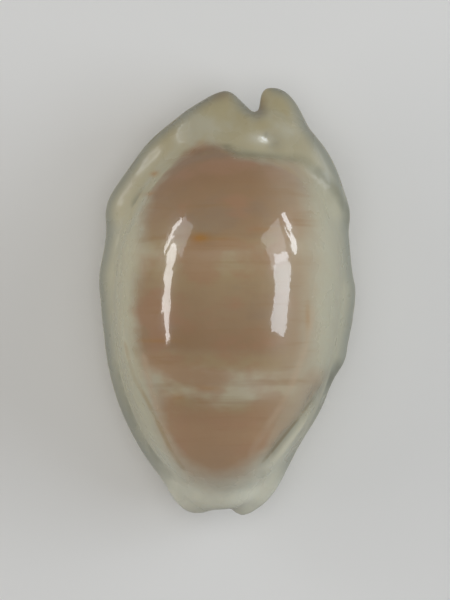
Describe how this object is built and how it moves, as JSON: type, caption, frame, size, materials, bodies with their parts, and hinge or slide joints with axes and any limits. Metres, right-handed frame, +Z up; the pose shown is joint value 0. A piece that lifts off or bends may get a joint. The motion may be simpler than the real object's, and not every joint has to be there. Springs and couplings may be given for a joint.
{
  "type": "clandestine cowrie shell",
  "caption": "Small glossy cowrie shell: domed back with faint bands, thick cream margins, a notch at each end and a narrow toothed aperture below.",
  "frame": {"origin": "middle of the underside of the shell's box, on the surface that the shell rests on", "axes": "+Z up through the back, +Y along the length to the posterior end with the deep notch, +X to the columellar side"},
  "size_m": [0.0108, 0.018, 0.0086],
  "materials": {
    "enamel": "natural polished shell enamel: tan back with faint cream bands, cream margins and ends, pale base"
  },
  "bodies": {
    "root": {"shell": "enamel"}
  },
  "joints": []
}
